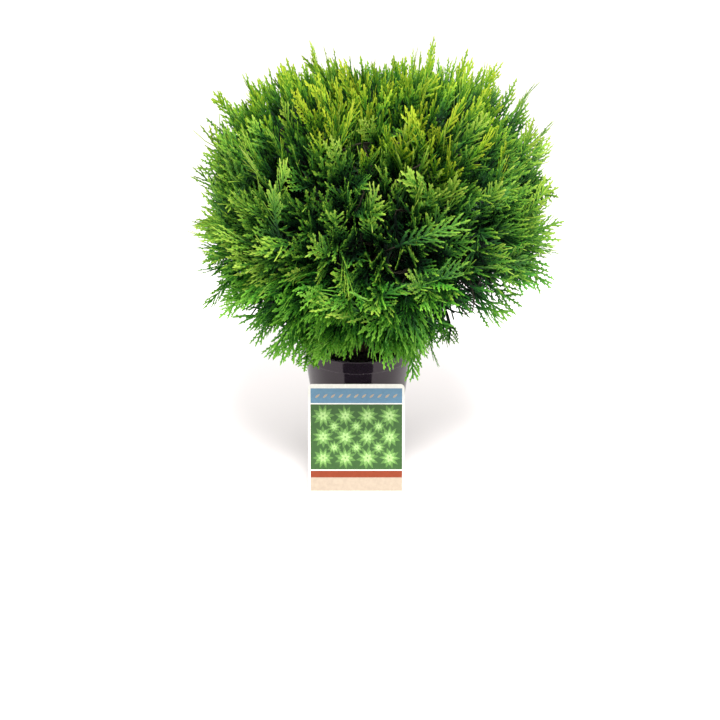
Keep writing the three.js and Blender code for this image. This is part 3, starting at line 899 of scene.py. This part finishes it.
HOLLOWS = (
    ((-0.38, -0.84, 0.37), 0.993, 0.998, 0.7),
    ((-0.14, -0.90, 0.42), 0.994, 0.999, 0.5),
    ((-0.14, -0.98, 0.14), 0.994, 0.999, 0.4),
    ((0.11, -0.99, 0.12), 0.994, 0.999, 0.4),
    ((0.62, -0.42, -0.66), 0.90, 0.97, 0.55),
)

# A mass's draws: the first one's step and how many steps each spray has
SPRAY_STEP = 100
DRAWS = 24

# Hues of leaf from the foot of the crown to its top: factors on red, green and blue of the lightest
# tone, the share of them in the darkest tone, and the heights of direction where the hues change
HUES = {
    "cool": ((0.68, 1.02, 1.15), 1.0),
    "plain": ((1.05, 1.0, 1.4), 1.0),
    "warm": ((1.2, 1.0, 0.60), 0.1),
}
HUE_HEIGHTS = (-0.17, 0.57)
HUE_BLEND = 0.35

# Gaps between the low sprays through which the ground shows: side and height where they cross the
# plane through the crown's middle, seen from the front, and radius
SKY_GAPS = np.array([
    (114, 185, 4.5), (92, 180, 4), (99, 175, 3.5), (126, 188, 3.5), (119, 171, 3.5), (127, 167, 3.5),
    (104, 161, 5), (85, 152, 5), (-70, 136, 4.5), (-98, 154, 4), (-83, 166, 4), (-99, 172, 3.5),
    (-106, 192, 3.5), (-116, 206, 3.5), (92, 154, 4), (86, 146, 3.5), (102, 159, 3.5), (96, 144, 4),
    (76, 152, 2.5),
]) * MM
FRONT_EYE = np.array([1.88, -780.36, 456.24]) * MM

# Kinds of shoot: pitch of the lobes, their angle off the thread in degrees, stretch of their length
SHOOT_KINDS = {"comb": (2.4 * MM, 42, 1.0), "feather": (2.6 * MM, 28, 0.95)}

# Bare thread at a shoot's foot and tip, the lobes whose length a plain thread has, and the steps of
# tone on the two sides of a ridge: painted shade on one side and painted light on the other, as on
# a round cord lit from one side
PLAIN_FOOT, PLAIN_TIP = 3.0 * MM, 2.8 * MM
PLAIN_LOBES = 6
PAINTED_SHADE_SIDE, PAINTED_LIGHT_SIDE = -1.15, 0.75

# Shoots as kind and number of lobes: three of comb, three of feather and a plain thread. Then the
# lengths at which the next one is used, the least length, and the first one's seed
SHOOTS = (
    ("comb", 3), ("comb", 5), ("comb", 8),
    ("feather", 2), ("feather", 4), ("feather", 7),
    ("comb", 0),
)
SIZE_STEPS = (13.5 * MM, 19.5 * MM)
SHORTEST_SHOOT = 4.5 * MM
PATTERN_SEED = 60


def mass_twigs(mass, count):
    """The mass's stem and its twigs, as start, middle and end of quadratic Beziers. Twigs fan out
    from the fork on a golden spiral of angles off the mass's axis."""
    start, fork = mass["limb"][-1], mass["fork"]
    bend = start + unit(start - mass["limb"][-2]) * np.linalg.norm(fork - start) / 2
    k = np.arange(count)[:, None]
    angle = TWIG_SPREAD * np.sqrt((k + 0.5) / count)
    turn = k * GOLDEN_TURN + FULL_TURN * chance(mass["seed"], TWIG_SEED)
    ends = crown_point(off_axis(mass["axis"], angle, turn), TWIG_REACH)
    starts = np.broadcast_to(fork, ends.shape)
    lift = mass["axis"] * 0.15 * np.linalg.norm(ends - fork, axis=1)[:, None]
    return (start, bend, fork), (starts, (starts + ends) / 2 + lift, ends)


def spray_sites(mass, foliage):
    """Where the mass's sprays stand. Tips lie on a golden spiral over the crown's face, at an angle
    S sqrt((k+0.5)/n) off the mass's axis, and those in a neighbour's wedge, in a thin patch or in a
    hollow are skipped. Most end at the face, some under it, and some lie across deep inside. A spray
    is a quadratic Bezier whose end direction leans up, but for the foot of the crown, and whose flat
    is rolled at random. Its tone changes by place and its hue by height, and near the top it is
    slender: its shoots are shorter and nearer to it."""
    k = np.arange(foliage.sites)
    seed = mass["seed"]

    def draw(*steps):
        return np.stack([chance(seed, SPRAY_STEP + DRAWS * k + step) for step in steps], axis=-1)

    angle = SITE_SPREAD * np.sqrt((k + 0.5) / len(k))[:, None]
    turn = k[:, None] * GOLDEN_TURN + FULL_TURN * chance(seed, TWIG_SEED)
    direction = off_axis(mass["axis"], angle, turn)
    side, ahead, height = direction[:, :1], -direction[:, 1:2], direction[:, 2:]
    others = np.stack([other["axis"] for other in MASSES if other is not mass])
    lead = direction @ mass["axis"] - np.max(direction @ others.T, axis=1)
    layer = draw(12)
    inner = layer > INNER_SHARE
    wild = draw(13) > 0.86 - 0.12 * smooth_step(ahead, 0.3, 0.8)
    leader = draw(1) > 0.90
    face, under, deep = (
        least + spread * draw(0) for least, spread in (FACE_REACH, UNDER_REACH, INNER_REACH))
    reach = face + LEADER_REACH * leader + changed_by_place(direction, REACH_CHANGES)
    reach = np.where(inner, deep, np.where(layer > UNDER_SHARE, under, reach))
    tip = crown_point(direction, reach)
    rise = smooth_step(height, -0.45, 0.6)
    stray = np.where(inner, 4.0, np.where(wild, 1.8, 0.6)) * (draw(2, 3, 4) - 0.5)
    along = unit(direction + UP * 0.8 * rise + stray)
    length = foliage.spray * (0.72 + 0.42 * draw(5))
    middle = tip - along * length * 0.5
    root = middle - unit(along + 0.5 * unit(middle - mass["fork"])) * length * 0.5
    upright = UP + 0.6 * (draw(6, 7, 8) - 0.5)
    across = unit(upright - along * dot(upright, along))
    low = smooth_step(-height, 0.3, 0.7)
    roll = (draw(9) + draw(10) - 1) * math.radians(95) + low * np.abs(ahead) * math.pi / 2
    across = across * np.cos(roll) + np.cross(along, across) * np.sin(roll)
    airy = smooth_step(-height, 0.0, 0.6) * smooth_step(side, 0.1, 0.6)
    patch = lattice_noise(direction + 3, 0.2, 9)[:, None]
    thick = (inner & (airy < 0.5)) | (patch > -0.75 + 0.8 * airy)
    filled = inner | (draw(16) > changed_by_place(direction, HOLLOWS))
    kept = (lead > -SITE_SLACK) & (thick & filled)[:, 0] & (reach_fraction(root) < ROOT_REACH)
    kept &= clear_of_pot(tip) & clear_of_pot(root)
    sites = {
        "root": root, "middle": middle, "tip": tip, "across": across, "length": length,
        "slender": 1 - 0.28 * smooth_step(height, 0.5, 0.85),
        # A random step of tone plus the painted light and shade by place
        "tone": 0.9 * (draw(11) - 0.5) + changed_by_place(direction, PAINTED_LIGHT_AND_SHADE),
        "hue": np.digitize(height + HUE_BLEND * (draw(17) - 0.5), HUE_HEIGHTS),
        "feathered": draw(15) < 0.25 + 0.4 * smooth_step(height, -0.4, 0.3),
        "seed": seed + 0.37 * k[:, None],
    }
    return {name: values[kept] for name, values in sites.items()}


def changed_by_place(direction, changes):
    """The sum of the changes whose place each direction lies at, as a column."""
    total = np.zeros(len(direction))
    for place, low, high, change in changes:
        total += change * smooth_step(direction @ unit(np.array(place)), low, high)
    return total[:, None]


def clear_of_pot(points):
    """True over the pot, above its rim, and beside it, down to a little under the rim."""
    out = np.hypot(points[:, 0], points[:, 1])
    return points[:, 2] > np.where(out < POT_CLEARANCE, OVER_POT, BESIDE_POT)


def clear_of_gaps(points):
    """True outside the round gaps that run from the front eye through the crown: the length of
    (point - eye) x line, where line is the gap's unit direction, is over its radius."""
    clear = np.ones(len(points), dtype=bool)
    for side, height, radius in SKY_GAPS:
        line = unit(np.array([side, 0, height]) - FRONT_EYE)
        clear &= np.linalg.norm(np.cross(points - FRONT_EYE, line), axis=1) > radius
    return clear


def clear_of_limbs(points):
    """True where a point is a small margin or more off the trunk's and every bough's bark."""
    clear = np.ones(len(points), dtype=bool)
    s = np.linspace(0, 1, 25)
    limbs = [(TRUNK_PATH, TRUNK_RADII)] + [(mass["limb"], BOUGH_RADII) for mass in MASSES[1:]]
    for path, radii in limbs:
        radius = np.interp(s, np.linspace(0, 1, len(radii)), radii)
        distance = np.linalg.norm(points[:, None] - point_along(path, s), axis=-1)
        clear &= np.all(distance > radius + LIMB_MARGIN, axis=1)
    return clear


def shoot_pattern(kind, lobes, foliage, seed):
    """A shoot in its own plane: a ridged thread along x that narrows to its tip, and lobes that leave
    it forward at alternate sides, each a kite ridged from foot to tip. Faces on the side of y > 0
    get painted shade and those on the other side painted light. Gives points, corners, each face's
    share of the length and its step of tone, and the length."""
    pitch, spread, stretch = SHOOT_KINDS[kind]
    length = PLAIN_FOOT + pitch * (lobes or PLAIN_LOBES) + PLAIN_TIP
    stations = 3 if lobes < 7 else 4
    x = np.linspace(0, length * 0.92, stations)
    half = foliage.thread * (0.5 if lobes else 0.28) * (1 - 0.3 * x / length)
    left = np.stack([x, half, 0 * x], axis=-1)
    ridge = np.stack([x, 0 * x, half * 0.55], axis=-1)
    thread = np.stack([left, ridge, left * [1, -1, 1]], axis=1).reshape(-1, 3)
    points = [thread, np.array([[length, 0, 0]])]
    end = len(thread)
    corners = [
        grid_corners(stations, 3, False)[:, ::-1], np.array([[-3, -2, 0], [-2, -1, 0]]) + end]
    shares = [np.repeat(np.linspace(0.15, 0.75, stations - 1), 4), np.ones(2)]
    steps = [np.tile([PAINTED_SHADE_SIDE, PAINTED_LIGHT_SIDE], 2 * (stations - 1)), np.array([0.1, 0.6])]
    start = end + 1
    out, ridged = np.array([0, 1, 0, -1]), np.array([0.2, -0.25, 0.15, -0.25]) * MM
    for j in range(lobes):
        side = 1 if j % 2 else -1
        angle = math.radians(spread - 8 * j / lobes + 8 * (chance(seed, j) - 0.5)) * side
        size = foliage.lobe * stretch * (1 - 0.2 * j / lobes) * (0.8 + 0.4 * chance(seed, j + 20))
        tilt = 0.3 * (chance(seed, j + 40) - 0.5)
        u, v = np.array([0, 0.6, 1, 0.6]) * size, out * 0.95 * MM
        px = PLAIN_FOOT + pitch * j + u * math.cos(angle) - v * math.sin(angle)
        py = u * math.sin(angle) + v * math.cos(angle)
        points.append(np.stack([px, py, ridged + tilt * u], axis=-1))
        corners.append(np.array([[0, 2, 1], [0, 3, 2]]) + start)
        shares.append(np.full(2, (PLAIN_FOOT + pitch * (j + 0.6)) / length))
        steps.append(np.array([PAINTED_SHADE_SIDE, PAINTED_LIGHT_SIDE]) + 0.5 * (chance(seed, j + 60) - 0.5))
        start += 4
    shares, steps = np.concatenate(shares), np.concatenate(steps)
    return np.vstack(points), np.vstack(corners), shares, steps, length


def placed_shoots(pattern, shoots, chosen):
    """Copies of a shoot pattern: root + s(x a + (y + c x^2) b + (z + d x^2) n) with each shoot's
    direction a, side b, face n, scale s and bends c and d. A left-hand shoot is mirrored in y."""
    points, corners, shares, steps, length = pattern
    take = {name: values[chosen][:, None] for name, values in shoots.items()}
    scale = take["length"] / length
    x = points[:, :1] * scale
    y = points[:, 1:2] * scale * take["hand"] + take["bend"] * x**2
    z = points[:, 2:] * scale + take["arch"] * x**2
    placed = take["root"] + x * take["along"] + y * take["aside"] + z * take["face"]
    order = np.where(take["hand"] > 0, corners, corners[:, ::-1])
    low, high, hue = (take[name][:, 0] for name in ("low", "high", "hue"))
    shades = leaf_shades(low + (high - low) * shares + steps, hue)
    return placed.reshape(-1, 3), copied(order, len(order), len(points)), shades


def leaf_shades(tones, hue):
    """The number of each face's material: its rounded tone, in its spray's hue."""
    count = len(LEAF_TONES)
    return (np.clip(np.round(tones), 0, count - 1) + count * hue).astype(int).ravel()


def grow_shoots(sites, foliage):
    """Side shoots leave a spray's curve at alternate sides, 40 - 8s degrees off it at the fraction s
    of the spray, and one shoot ends it. Their length is L (1-s)^0.75 (0.55 + 1.6s). Both are less on
    a slender spray. A few shoots are plain threads."""
    rows = []
    count = foliage.side_shoots

    def draw(step):
        return chance(sites["seed"], step)

    curve = sites["root"], sites["middle"], sites["tip"]
    share = sites["length"] / foliage.spray
    for j in range(count + 1):
        last = j == count
        s = 0.70 if last else 0.06 + 0.78 * (j + 0.6 * draw(10 * j)) / count
        side = -1.0 if j % 2 else 1.0
        along = bezier_along(*curve, s)
        across = unit(sites["across"] - along * dot(sites["across"], along))
        face = np.cross(along, across)
        plain = (draw(10 * j + 7) > 0.94) & (not last)
        if last:
            angle = 0.12 * (draw(10 * j) - 0.5)
            length = 0.34 * sites["length"] * (0.85 + 0.3 * draw(10 * j + 1))
        else:
            degrees = 40 - 8 * s + 10 * (draw(10 * j + 1) - 0.5) + 12 * plain
            angle = side * np.radians(degrees) * sites["slender"]
            length = foliage.shoot * sites["slender"] * share * (1 - s) ** 0.75 * (0.55 + 1.6 * s)
            length = length * (0.75 + 0.5 * draw(10 * j + 2))
        out = along * np.cos(angle) + across * np.sin(angle)
        tilt = 0.5 * (draw(10 * j + 3) - 0.5)
        face = unit(face * np.cos(tilt) + np.cross(out, face) * np.sin(tilt))
        rows.append({
            "root": bezier(*curve, s), "along": out, "aside": np.cross(face, out), "face": face,
            "length": length, "hand": np.full_like(length, side), "plain": plain,
            "bend": -side * (4 + 12 * draw(10 * j + 4)) * (not last),
            "arch": 9 * (draw(10 * j + 5) - 0.5),
            "tone": sites["tone"] + 0.7 * (draw(10 * j + 6) - 0.5) + 1.5 * plain,
            "feathered": sites["feathered"], "hue": sites["hue"],
        })
    return {name: np.vstack([row[name] for row in rows]) for name in rows[0]}


def leaf_tone(points):
    """The leaf's tone by place: darkest deep inside, lighter out to the tips and up to the top. This
    is partly the real deeper green of old inner leaf and the lighter young growth, and partly painted
    shade inside the crown and painted light on its top.
    """
    high = (points - CROWN_CENTRE)[..., 2] / CROWN_RISE
    return 0.35 + 6.0 * smooth_step(reach_fraction(points), 0.70, 1.0) + 0.45 * high


def spray_threads(sites, foliage):
    """The ridged ribbon along each spray's curve: centre and half width either side of it."""
    s = np.linspace(0, 0.9, 7)[None, :, None]
    names = "root", "middle", "tip", "across"
    root, middle, tip, across = (sites[name][:, None] for name in names)
    centre = bezier(root, middle, tip, s)
    along = bezier_along(root, middle, tip, s)
    across = unit(across - along * dot(across, along))
    face = np.cross(along, across)
    edge, sunk = across * (foliage.thread * (0.62 - 0.3 * s)), face * 0.2 * MM
    ribbon = [centre + edge - sunk, centre + face * 0.5 * MM, centre - edge - sunk]
    ribbon = np.stack(ribbon, axis=2)
    count, rows = ribbon.shape[:2]
    corners = copied(grid_corners(rows, 3, False)[:, ::-1], count, rows * 3)
    tone = leaf_tone(centre) - 1.0
    tones = np.repeat((tone[:, 1:] + tone[:, :-1]) / 2, 4, axis=1)
    return ribbon.reshape(-1, 3), corners, leaf_shades(tones, sites["hue"])


def leaf_materials(foliage):
    """One plain green for each hue and tone of leaf: the tone's colour times 1 + (hue - 1) share,
    where the share grows from the hue's least at the darkest tone to 1 at the lightest."""
    materials = []
    for hue, (factors, least) in HUES.items():
        for i, tone in enumerate(LEAF_TONES):
            share = least + (1 - least) * i / (len(LEAF_TONES) - 1)
            color = np.array(getattr(foliage, tone)) * (1 + (np.array(factors) - 1) * share)
            materials.append(principled(f"scale_leaf_{hue}_{tone}", color, 0.62 - 0.02 * i, 0.18))
    return materials


class ARBORVITAE_OT_add_foliage(bpy.types.Operator):
    """Grow the flat toothed sprays of every mass"""
    bl_idname = "arborvitae.add_foliage"
    bl_label = "Add Foliage"

    def execute(self, context):
        foliage = context.scene.arborvitae_foliage
        greens = leaf_materials(foliage)
        patterns = [
            shoot_pattern(*shoot, foliage, seed) for seed, shoot in enumerate(SHOOTS, PATTERN_SEED)]
        for mass in MASSES:
            sites = spray_sites(mass, foliage)
            shoots = grow_shoots(sites, foliage)
            root, length = shoots["root"], shoots["length"][:, 0]
            ends = root + shoots["along"] * shoots["length"]
            # A shoot runs from a darker foot to a lighter end: partly lighter young tips, partly
            # painted shade at the foot deeper in the crown
            shoots["low"] = shoots["tone"] + leaf_tone(root)[:, None] - 0.8
            shoots["high"] = shoots["tone"] + leaf_tone(ends)[:, None] + 0.4
            kept = clear_of_pot(ends) & clear_of_limbs(root) & (length > SHORTEST_SHOOT)
            for along in (0, 0.5, 1):
                kept &= clear_of_gaps(root + along * (ends - root))
            size = np.digitize(length, SIZE_STEPS) + 3 * shoots["feathered"][:, 0]
            size = np.where(shoots["plain"][:, 0], len(patterns) - 1, size)
            parts = [spray_threads(sites, foliage)]
            for i, pattern in enumerate(patterns):
                chosen = kept & (size == i)
                if chosen.any():
                    parts.append(placed_shoots(pattern, shoots, chosen))
            points, corners, shades = joined(parts)
            used, tones = np.unique(shades, return_inverse=True)
            worn = [greens[shade] for shade in used]
            piece = make_piece(f"sprays_{mass['label']}", points, corners, worn, tones)
            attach(piece, "root")
            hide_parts(f"foliage_{mass['label']}")
        return {"FINISHED"}


class ARBORVITAE_OT_add_twigs(bpy.types.Operator):
    """Grow the stems, twigs and twiglets that carry the sprays"""
    bl_idname = "arborvitae.add_twigs"
    bl_label = "Add Twigs"

    def execute(self, context):
        wood, foliage = context.scene.arborvitae_wood, context.scene.arborvitae_foliage
        brown = mottled("young_twig_bark", wood.twig, 0.4, 1.5 * MM, (0.75, 0.9), 0.1 * MM)
        s = np.linspace(0, 1, 9)
        shapes = []
        for mass in MASSES:
            stem, twigs = mass_twigs(mass, wood.twigs)
            stem_path = bezier(*stem, s[:, None])[None]
            twig_paths = bezier(*(end[:, None] for end in twigs), s[None, :, None])
            shapes.append(tubes(stem_path, np.interp(s, [0, 0.5, 1], STEM_RADII), 7))
            shapes.append(tubes(twig_paths, 1.35 * MM - 0.6 * MM * s, 6))
            sites = spray_sites(mass, foliage)
            root = sites["root"]
            forks = twig_paths[:, ::2].reshape(-1, 3)
            leave = unit(sites["middle"] - root)
            wanted = root - leave * TWIGLET_RUN
            start = forks[np.argmin(np.linalg.norm(wanted[:, None] - forks, axis=-1), axis=1)]
            bend = root - leave * np.linalg.norm(root - start, axis=1)[:, None] * 0.5
            steps = np.linspace(0, 1, 4)[None, :, None]
            paths = bezier(start[:, None], bend[:, None], root[:, None], steps)
            shapes.append(tubes(paths, np.linspace(0.75, 0.5, 4) * MM, 3))
        points, corners, _ = joined([(*shape, 0) for shape in shapes])
        piece = make_piece("twigs", points, corners, [brown], smooth=True)
        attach(piece, "root")
        return {"FINISHED"}


# ---- stage


FLOOR_SIDES = 96
LAMP_PLACE, LAMP_TARGET, LAMP_SIZE = (0.12, -0.66, 1.2), (0, 0, 0.25), (0.5, 0.35)
CAMERA_TILT = math.radians(65.69)

# The dark flag that the pot mirrors: half its width, its place in front, its foot, top and colour
FLAG_HALF, FLAG_FRONT, FLAG_FOOT, FLAG_TOP = 58 * MM, 120 * MM, 10 * MM, 112 * MM
FLAG_BLACK = (0.005, 0.005, 0.005)


class ARBORVITAE_OT_add_stage(bpy.types.Operator):
    """Set the pale floor, the soft lights and the camera"""
    bl_idname = "arborvitae.add_stage"
    bl_label = "Add Stage"

    def execute(self, context):
        scene = context.scene
        stage = scene.arborvitae_stage
        turn, side = turns(FLOOR_SIDES), np.arange(FLOOR_SIDES)
        rings = np.array([0.5, 2, stage.floor_radius])[:, None, None]
        disc = rings * np.stack([np.cos(turn), np.sin(turn), 0 * turn], axis=-1)
        points = np.vstack([disc.reshape(-1, 3), [[0, 0, 0]]])
        hub = np.full_like(side, len(points) - 1)
        fan = np.stack([hub, side, (side + 1) % FLOOR_SIDES], axis=-1)
        corners = np.vstack([grid_corners(len(rings), FLOOR_SIDES, True)[:, ::-1], fan])
        pale = mottled("pale_floor", stage.floor, 0.985, 0.4, (0.6, 0.7), 0.01 * MM)
        floor = make_piece("floor", points, corners, [pale])
        world = bpy.data.worlds.new("white_room")
        world.use_nodes = True
        room = world.node_tree.nodes["Background"].inputs
        room["Color"].default_value = (1, 1, 1, 1)
        room["Strength"].default_value = stage.world
        scene.world = world
        lamp = bpy.data.lights.new("key_lamp", "AREA")
        lamp.shape = "RECTANGLE"
        lamp.size, lamp.size_y = LAMP_SIZE
        lamp.energy = stage.key
        key = bpy.data.objects.new("key_lamp", lamp)
        key.location = LAMP_PLACE
        key.rotation_euler = aimed(key.location, LAMP_TARGET)
        scene.collection.objects.link(key)
        side, height = np.meshgrid(
            np.linspace(-FLAG_HALF, FLAG_HALF, 3), np.linspace(FLAG_FOOT, FLAG_TOP, 3))
        sheet = np.stack([side, np.full_like(side, -FLAG_FRONT), height], axis=-1).reshape(-1, 3)
        black = mottled("dark_flag_cloth", FLAG_BLACK, 0.6, 2 * MM, (0.9, 1.0), 0.01 * MM)
        flag = make_piece("dark_flag", sheet, grid_corners(*side.shape, False), [black])
        # The flag is seen only in glossy reflections: it puts a dark reflection band on the pot and
        # is hidden from the camera, from diffuse light and from shadows
        flag.visible_camera = flag.visible_diffuse = flag.visible_transmission = False
        flag.visible_volume_scatter = flag.visible_shadow = False
        lens = bpy.data.cameras.new("camera")
        lens.sensor_width, lens.lens = 36, 45
        lens.clip_start, lens.clip_end = 0.02, 60
        camera = bpy.data.objects.new("camera", lens)
        camera.location = (stage.camera_side, -stage.camera_distance, stage.camera_height)
        camera.rotation_euler = (CAMERA_TILT, 0, 0)
        scene.collection.objects.link(camera)
        scene.camera = camera
        scene.view_settings.view_transform = "Standard"
        return {"FINISHED"}


def aimed(place, target):
    """Euler angles that point an object's -Z from a place to a target."""
    to = np.array(target) - np.array(place)
    flat = math.hypot(to[0], to[1])
    return (math.atan2(flat, -to[2]), 0, math.atan2(to[1], to[0]) - math.pi / 2)


# ---- add-on


class ARBORVITAE_PT_panel(bpy.types.Panel):
    """Buttons for every piece of the potted arborvitae"""
    bl_idname = "ARBORVITAE_PT_panel"
    bl_label = "Potted Arborvitae"
    bl_space_type = "VIEW_3D"
    bl_region_type = "UI"
    bl_category = "Arborvitae"

    def draw(self, context):
        for operator in OPERATORS:
            self.layout.operator(operator.bl_idname)


SETTINGS = {
    "arborvitae_pot": PotSettings,
    "arborvitae_soil": SoilSettings,
    "arborvitae_label": LabelSettings,
    "arborvitae_wood": WoodSettings,
    "arborvitae_foliage": FoliageSettings,
    "arborvitae_stage": StageSettings,
}
OPERATORS = (
    ARBORVITAE_OT_add_stage,
    ARBORVITAE_OT_add_pot,
    ARBORVITAE_OT_add_soil,
    ARBORVITAE_OT_add_label,
    ARBORVITAE_OT_add_limbs,
    ARBORVITAE_OT_add_twigs,
    ARBORVITAE_OT_add_foliage,
)
CLASSES = (*SETTINGS.values(), *OPERATORS, ARBORVITAE_PT_panel)


def register():
    for cls in CLASSES:
        bpy.utils.register_class(cls)
    for name, settings in SETTINGS.items():
        setattr(bpy.types.Scene, name, PointerProperty(type=settings))


def unregister():
    for name in SETTINGS:
        delattr(bpy.types.Scene, name)
    for cls in reversed(CLASSES):
        bpy.utils.unregister_class(cls)


def main():
    register()
    bpy.ops.arborvitae.add_stage()
    bpy.ops.arborvitae.add_pot()
    bpy.ops.arborvitae.add_soil()
    bpy.ops.arborvitae.add_label()
    bpy.ops.arborvitae.add_limbs()
    bpy.ops.arborvitae.add_twigs()
    bpy.ops.arborvitae.add_foliage()


if __name__ == "__main__":
    main()
